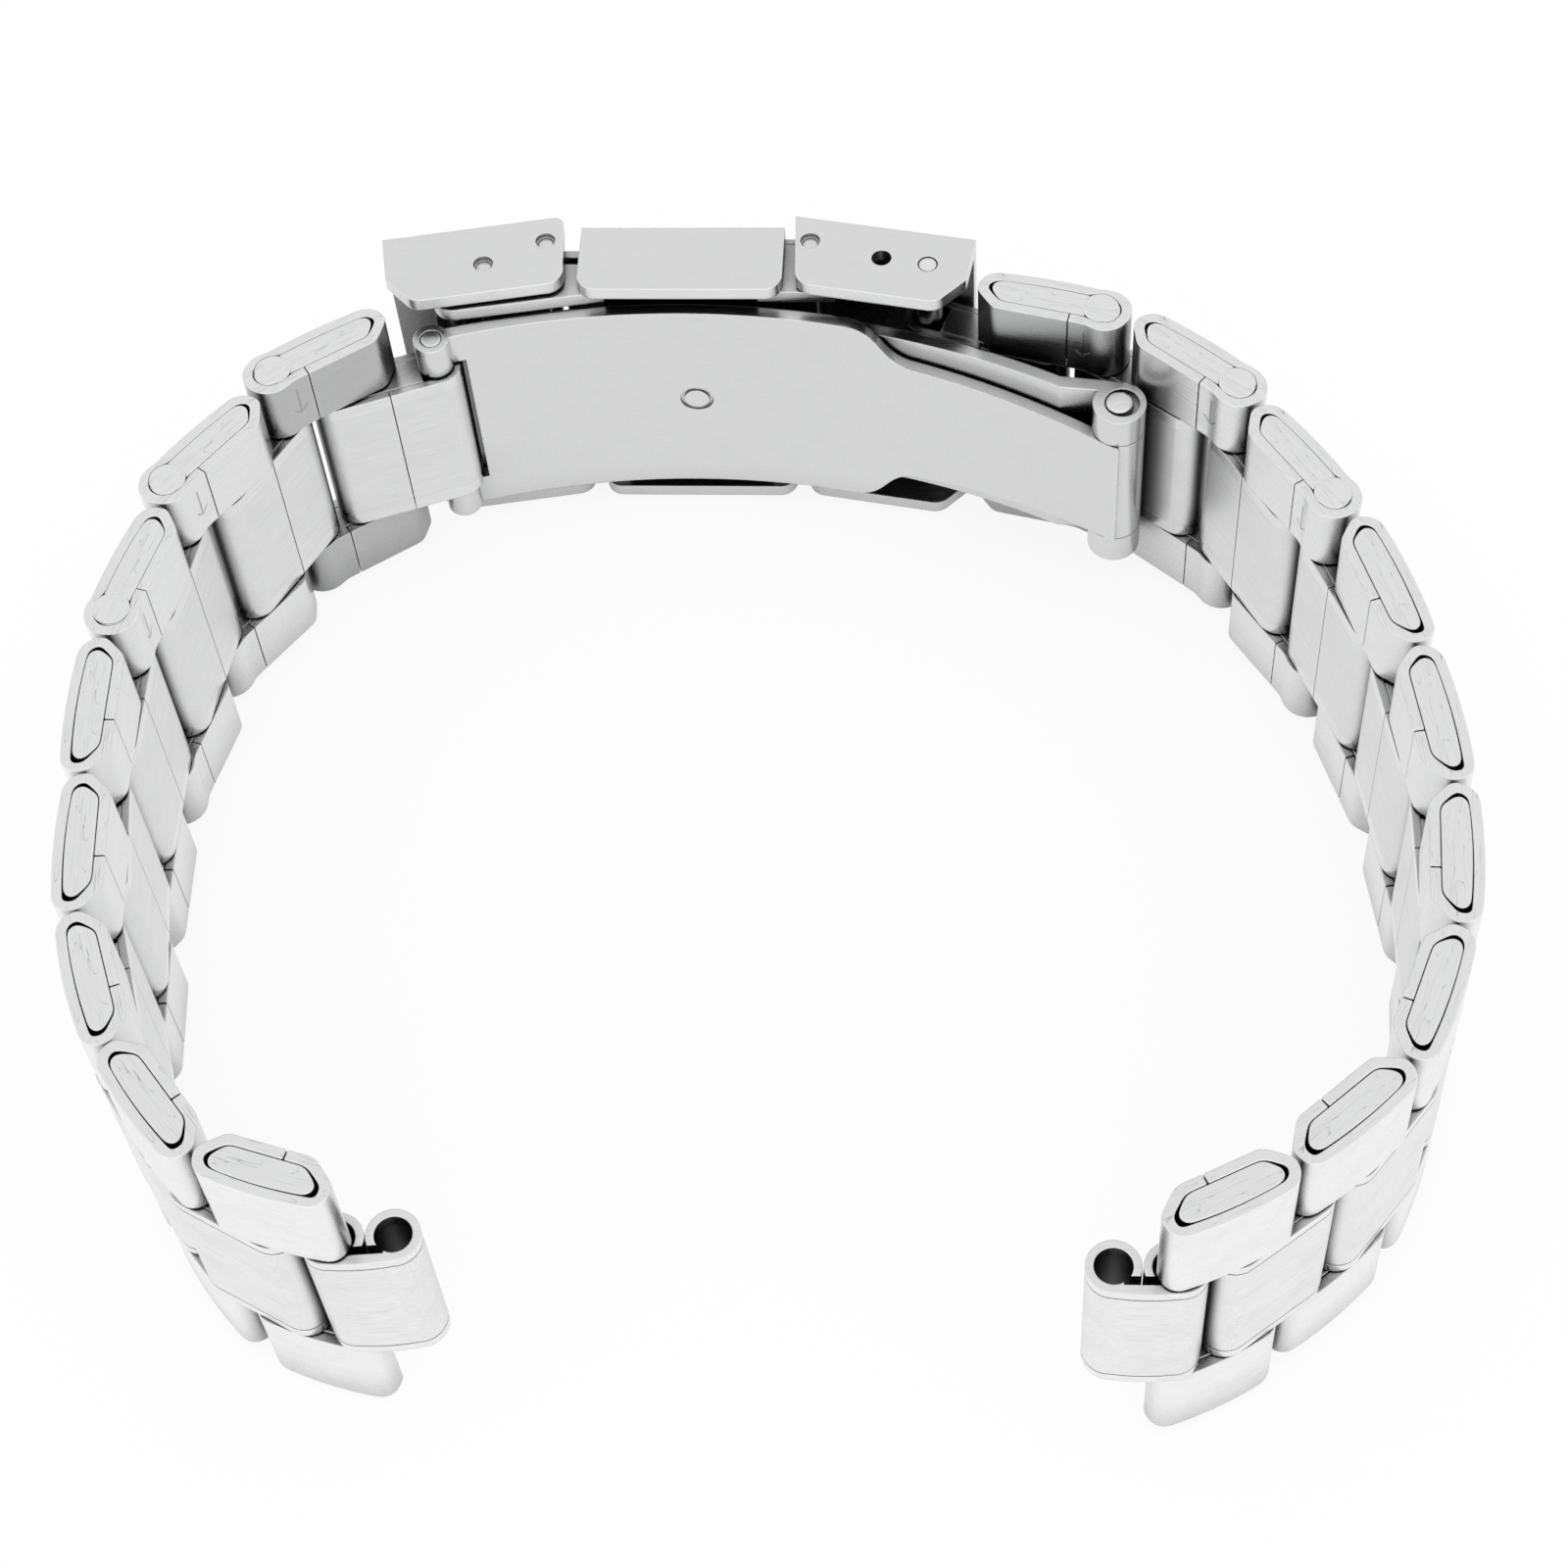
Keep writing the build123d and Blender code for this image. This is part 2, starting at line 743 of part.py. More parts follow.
with BuildPart() as inner_blade:
    with BuildSketch(clasp.offset(-inner_half)):
        add(blade_band(blade_curve, blade_curve + blade_sheet, -end_pin_x, fold_x))
        with Locations((-end_pin_x, -end_pin_drop)):
            Circle(end_eye_radius)
            Circle(end_pin_radius, mode=Mode.SUBTRACT)
        with Locations((fold_x, fold_y)):
            Circle(knuckle_radius)
            Circle(fold_pin_radius + running_gap, mode=Mode.SUBTRACT)
    extrude(amount=inner_half * 2)
    with BuildSketch(clasp_face.offset(-cut_overrun)):
        with Locations((-end_pin_x - cut_overrun * 2, 0)):
            Rectangle(
                end_pin_x + cut_overrun * 2 - head_notch,
                (half_centre + head_gap) * 2,
                align=(Align.MIN, Align.CENTER),
            )
        for side in (1, -1):
            with BuildLine():
                Line((narrow_start, side * inner_half), (fold_x + cut_overrun, side * inner_half))
                Line(
                    (fold_x + cut_overrun, side * inner_half),
                    (fold_x + cut_overrun, side * knuckle_half),
                )
                Line(
                    (fold_x + cut_overrun, side * knuckle_half),
                    (fold_x - knuckle_radius, side * knuckle_half),
                )
                Line(
                    (fold_x - knuckle_radius, side * knuckle_half),
                    (narrow_end, side * narrow_half),
                )
                Spline(
                    (narrow_end, side * narrow_half),
                    (narrow_start, side * inner_half),
                    tangents=[(-1, 0), (-1, 0)],
                )
            make_face()
    extrude(amount=cut_overrun * 2 + end_pin_drop * 2, mode=Mode.SUBTRACT)
    with BuildSketch(clasp_face.offset(blade_drop - dimple_depth)):
        with Locations((dimple_x, 0)):
            Circle(dimple_radius)
            Circle(dimple_radius - dimple_line, mode=Mode.SUBTRACT)
    extrude(amount=cut_overrun, mode=Mode.SUBTRACT)
inner_blade.part.label = "inner_blade"
export_step(inner_blade.part, "parts/inner_blade.step")

# Pins of the fold
fold_pins = (
    ("cover_hinge_pin", -cover_hinge_x, cover_hinge_y, cover_pin_radius, ear_outside),
    ("fold_hinge_pin", fold_x, fold_y, fold_pin_radius, mid_half + pin_proud),
    ("blade_end_pin", -end_pin_x, -end_pin_drop, end_pin_radius, inner_half),
)
for name, x, y, radius, half_length in fold_pins:
    with BuildPart() as fold_pin:
        with BuildSketch(clasp):
            with Locations((x, y)):
                Circle(radius)
        extrude(amount=half_length, both=True)
        fillet(fold_pin.edges().filter_by(GeomType.CIRCLE), pin_round)
    fold_pin.part.label = name
    export_step(fold_pin.part, f"parts/{name}.step")

# Spring bar that holds the right chain in the clasp
bar_centre = box_point(bar_along, bar_drop)
for name, outside, inside, half_length in (
    ("adjust_bar_tube", tube_radius, tube_bore, cover_half - tube_inset),
    ("adjust_bar_spring", spring_radius, spring_bore, spring_half),
):
    with BuildPart() as tube:
        with BuildSketch(clasp):
            with Locations(bar_centre):
                Circle(outside)
                Circle(inside, mode=Mode.SUBTRACT)
        extrude(amount=half_length, both=True)
    tube.part.label = name
    export_step(tube.part, f"parts/{name}.step")

for name, side in (("adjust_bar_tip_upper", 1), ("adjust_bar_tip_lower", -1)):
    with BuildPart() as tip:
        with BuildSketch(clasp.offset(side * collar_start)):
            with Locations(bar_centre):
                Circle(tip_radius)
        extrude(amount=side * (cover_half - tip_recess - collar_start))
        with BuildSketch(clasp.offset(side * collar_start)):
            with Locations(bar_centre):
                Circle(tip_collar)
        extrude(amount=side * (collar_end - collar_start))
    tip.part.label = name
    export_step(tip.part, f"parts/{name}.step")
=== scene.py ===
"""Looks of the link bracelet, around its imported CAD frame, in metres."""
import json
from math import cos, radians, sin

import bmesh
import bpy
from mathutils import Matrix, Vector

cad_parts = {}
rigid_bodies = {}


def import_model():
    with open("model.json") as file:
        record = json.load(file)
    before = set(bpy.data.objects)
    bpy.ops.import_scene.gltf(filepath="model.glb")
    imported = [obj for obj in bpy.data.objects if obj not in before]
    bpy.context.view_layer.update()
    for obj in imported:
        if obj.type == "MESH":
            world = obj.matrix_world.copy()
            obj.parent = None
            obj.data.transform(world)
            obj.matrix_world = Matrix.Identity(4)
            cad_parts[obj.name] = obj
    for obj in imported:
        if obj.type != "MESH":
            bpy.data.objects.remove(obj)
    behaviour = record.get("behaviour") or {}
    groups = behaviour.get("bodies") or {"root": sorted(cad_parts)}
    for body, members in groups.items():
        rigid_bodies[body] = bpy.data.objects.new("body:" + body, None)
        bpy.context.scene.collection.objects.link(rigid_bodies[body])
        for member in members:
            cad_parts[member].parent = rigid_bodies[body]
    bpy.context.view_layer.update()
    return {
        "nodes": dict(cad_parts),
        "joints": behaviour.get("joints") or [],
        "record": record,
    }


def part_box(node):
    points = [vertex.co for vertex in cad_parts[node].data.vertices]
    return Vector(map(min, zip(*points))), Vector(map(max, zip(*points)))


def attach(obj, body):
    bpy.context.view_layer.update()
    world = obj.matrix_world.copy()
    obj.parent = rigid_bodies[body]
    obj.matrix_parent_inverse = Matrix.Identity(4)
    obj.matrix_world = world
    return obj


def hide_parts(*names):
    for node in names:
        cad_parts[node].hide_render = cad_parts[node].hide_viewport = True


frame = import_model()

MM = 0.001

# The ring's middle plane, as the CAD source places it
RING_ORIGIN = Vector((1.24, 0.27, 10.29)) * MM
RING_LEAN = radians(1.75)
RING_AXES = Matrix((
    (1, 0, 0),
    (0, cos(RING_LEAN), sin(RING_LEAN)),
    (0, -sin(RING_LEAN), cos(RING_LEAN)),
))

# The clasp's frame in the ring: x along the cover, y away from the wrist
CLASP_PLACE = Vector((-2.69, 31.78, 0)) * MM
CLASP_TURN = radians(-7.4)
CLASP_FRAME = (
    RING_ORIGIN + RING_AXES @ CLASP_PLACE,
    RING_AXES @ Matrix.Rotation(CLASP_TURN, 3, "Z"),
)

# Camera, fitted to the photograph
CAMERA_TILT = radians(57.0)
CAMERA_ROLL = radians(5.6)
CAMERA_DISTANCE = 177 * MM
CAMERA_NEAR = 0.01
CAMERA_FAR = 10
FOCAL_PIXELS = 3450
IMAGE_PIXELS = 1600
SENSOR_WIDTH = 36.0

# Colours of the steel, with painted light and shade by where a face looks: outer faces, side faces, wrist
# faces, a painted reflection of the clasp's dark underside on the wrist faces next to it, the clasp's
# blades and cover sides in darker painted shade, a painted highlight on the edges, brushing, cuts, and
# painted shade in the hollows
OUTSIDE_PAINTED_LIGHT = (0.94, 0.94, 0.94, 1)
SIDE = (0.77, 0.772, 0.775, 1)
WRIST = (0.79, 0.792, 0.795, 1)
PAINTED_UNDERSIDE_REFLECTION = (0.46, 0.462, 0.465, 1)
PAINTED_CLASP_SHADE = (0.70, 0.702, 0.705, 1)
EDGE_HIGHLIGHT = (0.96, 0.96, 0.96, 1)
BRUSHED = (0.62, 0.622, 0.626, 1)
GRAIN_DARK = (0.34, 0.34, 0.345, 1)
HOLLOW_SHADE = (0.045, 0.045, 0.048, 1)
WHITE = (1, 1, 1, 1)

# Finishes of the steel: strength of the brushing and of the veins, roughness, polished strips, and for
# the clasp a darker painted shade on its side and wrist faces
OUTER_FINISH = {"brush": 0.3, "grain": 0.75, "roughness": 0.27}
PLUG_FINISH = {"brush": 0.2, "grain": 0.4, "roughness": 0.25}
CENTRE_FINISH = {"brush": 0.6, "strips": True, "roughness": 0.33}
COVER_FINISH = {"brush": 0.2, "roughness": 0.27, "side": PAINTED_CLASP_SHADE}
BLADE_FINISH = {"brush": 0.1, "roughness": 0.22, "wrist": PAINTED_CLASP_SHADE, "side": PAINTED_CLASP_SHADE}
PIN_FINISH = {"brush": 0.1, "roughness": 0.18}

# Parts of the normal, in a link's frame, that make a side face, an outer face and a wrist face
SIDE_NORMAL = (0.8, 0.95)
OUTER_NORMAL = (-0.1, 0.6)
WRIST_NORMAL = (-0.5, -0.7)

# Waves per millimetre of the noise along, across and through a link
STREAK_WAVES = (0.35, 16, 16)
FINE_WAVES = (1.4, 45, 45)
CLOUD_WAVES = (0.5, 0.5, 0.5)
VEIN_WAVES = (0.16, 1.5, 0.01)
BREAK_WAVES = (0.5, 2.5, 0.01)

# What streaks and clouds do to colour, height and roughness
STREAK_TONE = (0.3, 0.75)
CLOUD_TONE = (0.45, 0.75)
CLOUD_SHARE = 0.2
STREAK_HEIGHT = 0.6
FINE_HEIGHT = 0.4
STREAK_ROUGH = (0.2, 0.8)
SMOOTHER = 0.05
ROUGHER = 0.09

# Veins in the sawn side faces: levels of the noise, width of a line in a level, and its breaks
VEIN_LEVELS = 9.0
VEIN_WIDTH = 0.07
VEIN_BREAKS = (0.42, 0.6)
VEIN_DEPTH = 2.0

# Polished strips along both edges of a centre link, in millimetres from its middle
STRIP_START = (4.2, 4.3)
STRIP_SMOOTHER = 0.12

# Arrow engraved in the removable links, in millimetres in the link's frame
ARROW_PLACE = 2.3
ARROW_TOP = 8.3
ARROW_LENGTH = 1.9
ARROW_END = 0.05
ARROW_LINE = (0.07, 0.04)
ARROW_BARB_LINE = (0.08, 0.04)
ARROW_BARB_REACH = (0.45, 0.4)
ARROW_SHARE = 0.7
ARROW_DEPTH = 3.0

# Painted highlight on the edges: their rounding in millimetres, the bend of the normal that shows them,
# and how clouds break them up
EDGE_ROUND = 0.12
EDGE_BEND = (0.985, 0.86)
EDGE_CLOUDS = (0.25, 0.55, 0.5, 0.95)

# Painted shade in hollows: how far it looks in millimetres, and the openness that darkens them
NEAR_REACH = 1.6
NEAR_OPEN = (0.65, 0.15, 0.0, 0.92)
FAR_REACH = 8
FAR_OPEN = (0.68, 0.25, 0.0, 0.8)
SHADER_SAMPLES = 4

# Bump of the surface, its height in millimetres
BUMP_STRENGTH = 0.5
BUMP_HEIGHT = 0.012

# Outlines of the folded links: length of a step, softening, rounding of the rims and radius of
# the pins, in millimetres; corners that bend more than the square bend stay as they are
OUTLINE_STEP = 0.1
OUTLINE_SOFTENING = 0.24
SQUARE_BEND = radians(60)
SMOOTH_BEND = radians(30)
RIM_ROUND = 0.07
RIM_STEPS = 2
PIN_RADIUS = 0.88
PIN_SIDES = 48
LEVEL_ERROR = 0.001
SAME_POINT = 1e-6

# Links next to the clasp that can be taken out, whose second pin is a part of its own
REMOVABLE = 3

# Lips of the bridge below the plates of the end boxes, in the clasp's frame, in millimetres:
# start, tip and height of each; the left one lies below the swing of the safety flap
LIPS = {"left": (-4.2, -6.6, -1.6), "right": (5.75, 7.0, -0.75)}
LIP_SHEET = 0.5
LIP_HALF = 8.3
LIP_RIM = 0.05
LIP_STEPS = 8

# Floor: half its size, its colour, and the plain white that the camera sees of it
FLOOR_HALF = 3.0
FLOOR_COLOUR = (0.95, 0.95, 0.95, 1)
FLOOR_SEEN = 1.01
FLOOR_SEEN_SHARE = 0.88

# Light all round, and more of it in a soft field in front
LIGHT_LEVEL = 0.98
FRONT_LIGHT = 0.3
FRONT_REACH = (-0.2, -0.8)
FRONT_HEIGHT = 0.55
FRONT_BAND = (0.45, 0.1)

CLASP_PINS = (
    "box_pin", "flap_pin", "snap_pins", "cover_hinge_pin", "fold_hinge_pin", "blade_end_pin",
    "adjust_bar_tube", "adjust_bar_spring", "adjust_bar_tip_upper", "adjust_bar_tip_lower",
)


def make_camera():
    """The photograph's camera, looking at the middle of the ring."""
    forward = Vector((0, cos(CAMERA_TILT), -sin(CAMERA_TILT)))
    right = Vector((1, 0, 0))
    down = Vector((0, -sin(CAMERA_TILT), -cos(CAMERA_TILT)))
    rolled_right = right * cos(CAMERA_ROLL) + down * sin(CAMERA_ROLL)
    rolled_down = down * cos(CAMERA_ROLL) - right * sin(CAMERA_ROLL)
    turn = Matrix((rolled_right, -rolled_down, -forward)).transposed()
    data = bpy.data.cameras.new("camera")
    data.sensor_width = SENSOR_WIDTH
    data.lens = SENSOR_WIDTH * FOCAL_PIXELS / IMAGE_PIXELS
    data.clip_start = CAMERA_NEAR
    data.clip_end = CAMERA_FAR
    camera = bpy.data.objects.new("camera", data)
    bpy.context.scene.collection.objects.link(camera)
    place = RING_ORIGIN - RING_AXES @ forward * CAMERA_DISTANCE
    camera.matrix_world = Matrix.Translation(place) @ (RING_AXES @ turn).to_4x4()
    bpy.context.scene.camera = camera


def link_frames():
    """Every link's own frame, x along the chain and y away from the wrist, from its pins."""
    frames = {}
    axis = RING_AXES @ Vector((0, 0, 1))
    for side, name in ((-1, "left"), (1, "right")):
        pins = {}
        for joint in frame["joints"]:
            words = joint["name"].split("_")
            if words[0] == "pin" and words[1] == name:
                pins[int(words[2])] = joint
        for number, joint in pins.items():
            start = Vector(joint["pos_m"])
            if number + 1 in pins:
                along = Vector(pins[number + 1]["pos_m"]) - start
            else:
                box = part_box(joint["child"])
                along = (box[0] + box[1]) / 2 - start
                along -= axis * along.dot(axis)
            along.normalize()
            across = axis * side
            outward = across.cross(along)
            turn = Matrix((along, outward, across)).transposed()
            frames[joint["child"]] = (start, turn)
    return frames


class Shader:
    """Short calls for the node tree of a material or of the world."""

    def __init__(self, owner):
        owner.use_nodes = True
        self.tree = owner.node_tree
        self.tree.nodes.clear()

    def node(self, kind, settings=None, **inputs):
        """A node with settings; an input is named, or i and its number."""
        made = self.tree.nodes.new(kind)
        for key, value in (settings or {}).items():
            setattr(made, key, value)
        for key, value in inputs.items():
            numbered = key[0] == "i" and key[1:].isdigit()
            self.put(made.inputs[int(key[1:]) if numbered else key], value)
        return made

    def put(self, socket, value):
        """Links a socket to another one, or writes its value."""
        if isinstance(value, bpy.types.NodeSocket):
            self.tree.links.new(value, socket)
        else:
            socket.default_value = value

    def math(self, operation, first, second=0.0, clamp=False):
        settings = {"operation": operation, "use_clamp": clamp}
        return self.node("ShaderNodeMath", settings, i0=first, i1=second).outputs[0]

    def times(self, first, second):
        return self.math("MULTIPLY", first, second)

    def scaled(self, vector, scale):
        settings = {"operation": "MULTIPLY"}
        return self.node("ShaderNodeVectorMath", settings, i0=vector, i1=scale).outputs[0]

    def noise(self, vector, waves, detail=2.0, roughness=0.5, distortion=0.0):
        made = self.node("ShaderNodeTexNoise", None, Vector=self.scaled(vector, waves), Scale=1.0,
                         Detail=detail, Roughness=roughness, Distortion=distortion)
        return made.outputs["Fac"]

    def spread(self, value, low, high, to_low=0.0, to_high=1.0):
        """The value's place between low and high, as one between two others."""
        made = self.node("ShaderNodeMapRange", {"clamp": True}, i0=value, i1=low, i2=high,
                         i3=to_low, i4=to_high)
        return made.outputs[0]

    def mix(self, share, first, second):
        """A share of the second colour over the first."""
        made = self.node("ShaderNodeMix", {"data_type": "RGBA"}, i0=share, i6=first, i7=second)
        return made.outputs[2]

    def output(self, kind, shader):
        made = self.node(kind)
        self.tree.links.new(shader.outputs[0], made.inputs[0])


def arrow(made, axes, side):
    """A thin engraved arrow along the pin, the common sign for pushing it out."""
    across = made.math("ABSOLUTE", made.math("SUBTRACT", axes[0], ARROW_PLACE))
    down = made.math("SUBTRACT", ARROW_TOP, made.times(axes[2], side))
    begun = made.spread(down, 0.0, ARROW_END)
    not_ended = made.spread(down, ARROW_LENGTH, ARROW_LENGTH - ARROW_END)
    shaft = made.times(made.spread(across, *ARROW_LINE), made.times(begun, not_ended))
    slant = made.math("SUBTRACT", made.math("ADD", down, across), ARROW_LENGTH)
    barbs = made.times(made.spread(made.math("ABSOLUTE", slant), *ARROW_BARB_LINE),
                       made.spread(across, *ARROW_BARB_REACH))
    return made.math("MAXIMUM", shaft, barbs)


def veins(made, local, on_side):
    """Broken dark lines that follow the fold of the sheet on its sawn side faces."""
    levels = made.times(made.noise(local, VEIN_WAVES, 2.0, 0.45, 0.5), VEIN_LEVELS)
    band = made.math("SUBTRACT", made.math("FRACT", levels), 0.5)
    line = made.spread(made.math("ABSOLUTE", band), 0.0, VEIN_WIDTH, 1.0, 0.0)
    broken = made.spread(made.noise(local, BREAK_WAVES, 1.0), *VEIN_BREAKS)
    return made.times(made.times(line, broken), on_side)


def hollows(made):
    """How much painted shade a place gets in narrow gaps and in wide hollows, from ambient occlusion."""
    shares = []
    for reach, openness in ((NEAR_REACH, NEAR_OPEN), (FAR_REACH, FAR_OPEN)):
        around = made.node("ShaderNodeAmbientOcclusion", {"samples": SHADER_SAMPLES}, Distance=reach * MM)
        shares.append(made.spread(around.outputs["AO"], *openness))
    return made.math("MAXIMUM", *shares)


def steel(name, place, brush, roughness, grain=0.0, strips=False, mark=0, wrist=WRIST, side=SIDE):
    """Steel brushed along x of a frame, with painted light and shade by where a face looks; mark is the
    end of the pin that an arrow starts from.
    """
    material = bpy.data.materials.new(name)
    made = Shader(material)
    origin, turn = place
    rotation = turn.to_euler()
    at = made.node("ShaderNodeTexCoord").outputs
    mapping = {"vector_type": "TEXTURE"}
    local = made.node("ShaderNodeMapping", mapping, Vector=at["Object"], Location=origin,
                      Rotation=rotation, Scale=(MM, MM, MM)).outputs[0]
    facing = made.node("ShaderNodeMapping", mapping, Vector=at["Normal"], Rotation=rotation).outputs[0]
    axes = made.node("ShaderNodeSeparateXYZ", None, Vector=local).outputs
    looks = made.node("ShaderNodeSeparateXYZ", None, Vector=facing).outputs
    on_side = made.spread(made.math("ABSOLUTE", looks[2]), *SIDE_NORMAL)
    outward = made.spread(looks[1], *OUTER_NORMAL)
    streaks = made.noise(local, STREAK_WAVES, 3.0, 0.6)
    fine = made.noise(local, FINE_WAVES)
    cloud = made.noise(local, CLOUD_WAVES, 3.0, 0.6)

    # Colour, with painted light and shade by where a face looks, height and roughness of the plain
    # brushed faces
    # Painted light and shade: outer faces lighter, side and wrist faces darker, by where each face looks
    # in the link's frame
    tone = made.mix(outward, wrist, OUTSIDE_PAINTED_LIGHT)
    tone = made.mix(on_side, tone, side)
    tone = made.mix(made.spread(streaks, *STREAK_TONE, 0.0, brush), tone, BRUSHED)
    tone = made.mix(made.spread(cloud, *CLOUD_TONE, 0.0, CLOUD_SHARE), tone, BRUSHED)
    height = made.math("ADD", made.times(streaks, STREAK_HEIGHT), made.times(fine, FINE_HEIGHT))
    rough = made.spread(streaks, *STREAK_ROUGH, roughness - SMOOTHER, roughness + ROUGHER)

    # Veins, polished strips and arrow
    if grain:
        cut = veins(made, local, on_side)
        tone = made.mix(made.times(cut, grain), tone, GRAIN_DARK)
        height = made.math("SUBTRACT", height, made.times(cut, VEIN_DEPTH))
    if strips:
        edge = made.spread(made.math("ABSOLUTE", axes[2]), *STRIP_START)
        rough = made.math("SUBTRACT", rough, made.times(edge, STRIP_SMOOTHER))
        height = made.times(height, made.math("SUBTRACT", 1.0, edge))
    if mark:
        cut = made.times(arrow(made, axes, mark), made.spread(looks[1], *WRIST_NORMAL))
        tone = made.mix(made.times(cut, ARROW_SHARE), tone, GRAIN_DARK)
        height = made.math("SUBTRACT", height, made.times(cut, ARROW_DEPTH))

    # Painted highlight on the edges and painted shade in the hollows
    soft = made.node("ShaderNodeBevel", {"samples": SHADER_SAMPLES}, Radius=EDGE_ROUND * MM).outputs[0]
    flat = made.node("ShaderNodeNewGeometry").outputs["Normal"]
    bend = made.node("ShaderNodeVectorMath", {"operation": "DOT_PRODUCT"}, i0=soft, i1=flat)
    edge_highlight = made.times(made.spread(bend.outputs["Value"], *EDGE_BEND), made.spread(cloud, *EDGE_CLOUDS))
    tone = made.mix(edge_highlight, tone, EDGE_HIGHLIGHT)
    # Painted shade in gaps and hollows, from ambient occlusion
    tone = made.mix(hollows(made), tone, HOLLOW_SHADE)

    bump = made.node("ShaderNodeBump", None, Strength=BUMP_STRENGTH, Distance=BUMP_HEIGHT * MM,
                     Height=height, Normal=soft)
    surface = made.node("ShaderNodeBsdfPrincipled", None, Metallic=1.0, Roughness=rough,
                        Normal=bump.outputs[0])
    made.put(surface.inputs["Base Color"], tone)
    made.output("ShaderNodeOutputMaterial", surface)
    return material


def removable(node):
    """Whether a folded link is one of those next to the clasp."""
    return int(node.split("_")[-1]) <= REMOVABLE


def cap_loops(mesh, place):
    """Outlines of a link's upper side face, in its own frame, and the heights it runs between."""
    origin, turn = place
    points = [turn.transposed() @ (vertex.co - origin) / MM for vertex in mesh.vertices]
    top = max(point.z for point in points)
    used = {}
    bottoms = []
    for polygon in mesh.polygons:
        heights = [points[index].z for index in polygon.vertices]
        if max(heights) - min(heights) > LEVEL_ERROR:
            continue
        if heights[0] > top - LEVEL_ERROR:
            for edge in polygon.edge_keys:
                used[edge] = used.get(edge, 0) + 1
        elif heights[0] > 0:
            bottoms.append(heights[0])
    following = {}
    for polygon in mesh.polygons:
        corners = list(polygon.vertices)
        for first, second in zip(corners, corners[1:] + corners[:1]):
            if used.get((min(first, second), max(first, second))) == 1:
                following[first] = second
    loops = []
    while following:
        first, at = following.popitem()
        loop = [first]
        while at != first:
            loop.append(at)
            at = following.pop(at)
        loops.append([points[index].xy for index in loop])
    return loops, min(bottoms), top


def bend_at(before, corner, after):
    """Turning angle of an outline at one of its corners."""
    first = corner - before
    second = after - corner
    if first.length < SAME_POINT or second.length < SAME_POINT:
        return 0.0
    return abs(first.angle_signed(second))


def smoothed(run, closed):
    """One round of softening of a run of points, whose ends stay unless it is closed."""
    if not closed:
        inner = [(run[i - 1] + run[i] * 2 + run[i + 1]) / 4 for i in range(1, len(run) - 1)]
        return [run[0]] + inner + [run[-1]]
    ring = run[:-1]
    ring = [(ring[i - 1] + ring[i] * 2 + ring[(i + 1) % len(ring)]) / 4 for i in range(len(ring))]
    return ring + [ring[0]]


def softened(loop):
    """The same outline in short even steps, its bends rounded and its square corners kept."""
    count = len(loop)
    square = [index for index in range(count)
              if bend_at(loop[index - 1], loop[index], loop[(index + 1) % count]) > SQUARE_BEND]
    starts = square or [0]
    result = []
    for number, start in enumerate(starts):
        stop = starts[(number + 1) % len(starts)]
        run = [loop[start]]
        index = start
        while True:
            index = (index + 1) % count
            step = loop[index] - run[-1]
            parts = max(1, round(step.length / OUTLINE_STEP))
            base = run[-1]
            run.extend(base + step * (part / parts) for part in range(1, parts + 1))
            if index == stop:
                break
        for _ in range(int(2 * (OUTLINE_SOFTENING / OUTLINE_STEP) ** 2)):
            run = smoothed(run, closed=not square)
        result.extend(run[:-1])
    return result


def add_prism(shape, outline, low, high, place):
    """An outline in a frame's own plane, drawn out along the frame's z."""
    origin, turn = place
    rings = []
    for level in (low, high):
        rings.append([shape.verts.new(origin + turn @ Vector((x, y, level)) * MM) for x, y in outline])
    shape.faces.new(rings[1])
    shape.faces.new(list(reversed(rings[0])))
    for index in range(len(outline)):
        after = (index + 1) % len(outline)
        shape.faces.new((rings[0][index], rings[0][after], rings[1][after], rings[1][index]))


def finish_piece(shape, name, rim_width, harden, material):
    """The shape as a scene object with rounded rims."""
    bmesh.ops.recalc_face_normals(shape, faces=shape.faces)
    for face in shape.faces:
        face.smooth = True
    for edge in shape.edges:
        edge.smooth = edge.calc_face_angle(0) < SMOOTH_BEND
    mesh = bpy.data.meshes.new(name)
    shape.to_mesh(mesh)
    shape.free()
    mesh.materials.append(material)
    piece = bpy.data.objects.new(name, mesh)
    bpy.context.scene.collection.objects.link(piece)
    rim = piece.modifiers.new("rim", "BEVEL")
    rim.limit_method = "ANGLE"
    rim.angle_limit = SQUARE_BEND
    rim.width = rim_width * MM
    rim.segments = RIM_STEPS
    rim.harden_normals = harden
    return piece


def folded_link(node, body, place, material):
    """A folded link with bent-sheet corners and rounded rims, drawn from its CAD outlines."""
    loops, low, high = cap_loops(frame["nodes"][node].data, place)
    shape = bmesh.new()
    for loop in loops:
        outline = softened(loop)
        add_prism(shape, outline, low, high, place)
        add_prism(shape, outline, -high, -low, place)
    turn = place[1].to_4x4()
    for joint in frame["joints"]:
        if joint["child"] == body or (joint["parent"] == body and not removable(node)):
            bmesh.ops.create_cone(
                shape, cap_ends=True, segments=PIN_SIDES, radius1=PIN_RADIUS * MM,
                radius2=PIN_RADIUS * MM, depth=low * 2 * MM,
                matrix=Matrix.Translation(joint["pos_m"]) @ turn,
            )
    piece = finish_piece(shape, node + "_folded", RIM_ROUND, True, material)
    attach(piece, body)
    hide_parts(node)


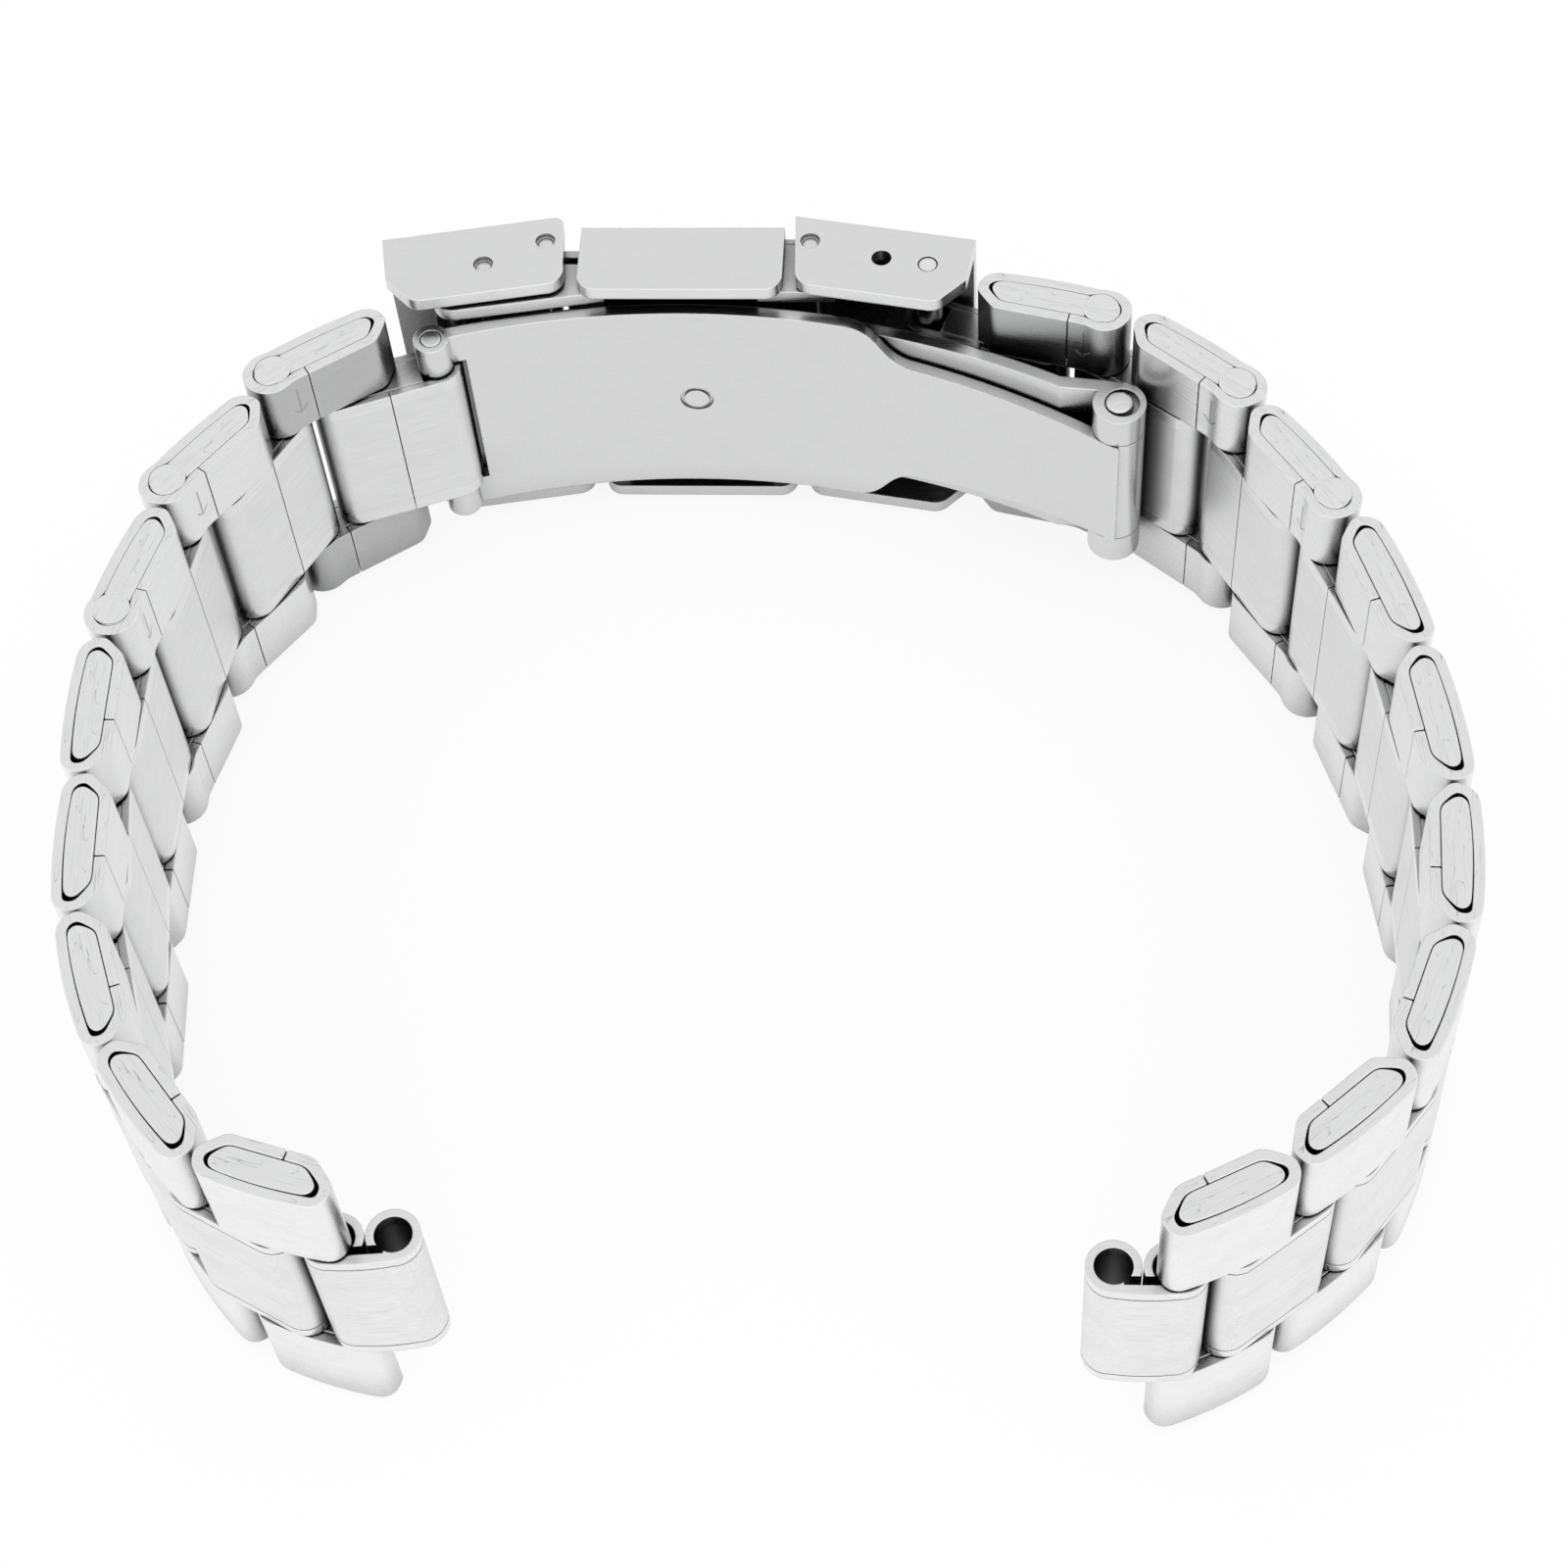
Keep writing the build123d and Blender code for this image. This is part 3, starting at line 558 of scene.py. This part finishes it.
def bridge_lip(name, start, stop, high, body, material):
    """The bridge's plate going on below an end box, with a round end."""
    radius = LIP_SHEET / 2
    reach = radius if stop > start else -radius
    outline = [(start, high)]
    for step in range(LIP_STEPS + 1):
        angle = radians(90 - 180 * step / LIP_STEPS)
        outline.append((stop - reach + reach * cos(angle), high - radius + radius * sin(angle)))
    outline.append((start, high - LIP_SHEET))
    shape = bmesh.new()
    add_prism(shape, outline, -LIP_HALF, LIP_HALF, CLASP_FRAME)
    piece = finish_piece(shape, name, LIP_RIM, False, material)
    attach(piece, body)


def dress(node, material):
    """Gives one CAD node its material."""
    mesh = frame["nodes"][node].data
    mesh.materials.clear()
    mesh.materials.append(material)


def dress_chains(bodies):
    """Steel for every link and push pin; the outer links are drawn again as folded sheets."""
    frames = link_frames()
    for body, members in bodies.items():
        for node in members:
            name = node + "_steel"
            if node.startswith("outer_link"):
                pin_end = -1 if "left" in node else 1
                mark = pin_end if removable(node) else 0
                # The two outer links next to the clasp get a painted reflection of its dark underside on
                # their wrist faces
                wrist = PAINTED_UNDERSIDE_REFLECTION if node.endswith("_1") else WRIST
                material = steel(name, frames[body], **OUTER_FINISH, mark=mark, wrist=wrist)
                folded_link(node, body, frames[body], material)
            elif node.startswith("push_pin"):
                dress(node, steel(name, frames[body], **PLUG_FINISH))
            elif node.startswith("centre_link"):
                dress(node, steel(name, frames[body], **CENTRE_FINISH))


def dress_clasp(bodies):
    """Steel for the clasp's cover, blades and pins, and the bridge's two lips."""
    cover_steel = steel("cover_steel", CLASP_FRAME, **COVER_FINISH)
    blade_steel = steel("blade_steel", CLASP_FRAME, **BLADE_FINISH)
    pin_steel = steel("pin_steel", CLASP_FRAME, **PIN_FINISH)
    for node in ("bridge", "adjust_box", "safety_flap"):
        dress(node, cover_steel)
    for node in ("mid_blade", "inner_blade"):
        dress(node, blade_steel)
    for node in CLASP_PINS:
        dress(node, pin_steel)
    cover = next(body for body, members in bodies.items() if "bridge" in members)
    for side, (start, stop, high) in LIPS.items():
        bridge_lip("bridge_lip_" + side, start, stop, high, cover, cover_steel)


def make_floor():
    """A white floor that stays white for the camera and keeps a pale shadow."""
    half = FLOOR_HALF
    mesh = bpy.data.meshes.new("floor")
    corners = [(-half, -half, 0), (half, -half, 0), (half, half, 0), (-half, half, 0)]
    mesh.from_pydata(corners, [], [(0, 1, 2, 3)])
    floor = bpy.data.objects.new("floor", mesh)
    bpy.context.scene.collection.objects.link(floor)
    material = bpy.data.materials.new("floor_white")
    made = Shader(material)
    path = made.node("ShaderNodeLightPath").outputs
    seen = made.math("ADD", path["Is Camera Ray"], path["Is Glossy Ray"])
    seen = made.math("ADD", seen, path["Is Transmission Ray"], clamp=True)
    lit = made.node("ShaderNodeBsdfDiffuse", None, Color=FLOOR_COLOUR)
    plain = made.node("ShaderNodeEmission", None, Color=WHITE, Strength=FLOOR_SEEN)
    share = made.times(seen, FLOOR_SEEN_SHARE)
    mixed = made.node("ShaderNodeMixShader", None, i0=share, i1=lit.outputs[0], i2=plain.outputs[0])
    made.output("ShaderNodeOutputMaterial", mixed)
    mesh.materials.append(material)


def make_world():
    """Plain soft light, a little stronger from above and in front."""
    world = bpy.data.worlds.new("studio")
    bpy.context.scene.world = world
    made = Shader(world)
    at = made.node("ShaderNodeTexCoord")
    axes = made.node("ShaderNodeSeparateXYZ", None, Vector=at.outputs["Generated"]).outputs
    front = made.spread(axes[1], *FRONT_REACH)
    off_height = made.math("ABSOLUTE", made.math("SUBTRACT", axes[2], FRONT_HEIGHT))
    field = made.times(front, made.spread(off_height, *FRONT_BAND))
    level = made.math("ADD", made.times(field, FRONT_LIGHT), LIGHT_LEVEL)
    path = made.node("ShaderNodeLightPath").outputs
    strength = made.node("ShaderNodeMix", {"data_type": "FLOAT"}, i0=path["Is Camera Ray"],
                         i2=level, i3=1.0)
    sky = made.node("ShaderNodeBackground", None, Color=WHITE, Strength=strength.outputs[0])
    made.output("ShaderNodeOutputWorld", sky)


make_camera()
dress_chains(frame["record"]["behaviour"]["bodies"])
dress_clasp(frame["record"]["behaviour"]["bodies"])
make_floor()
make_world()
bpy.context.scene.view_settings.view_transform = "Standard"
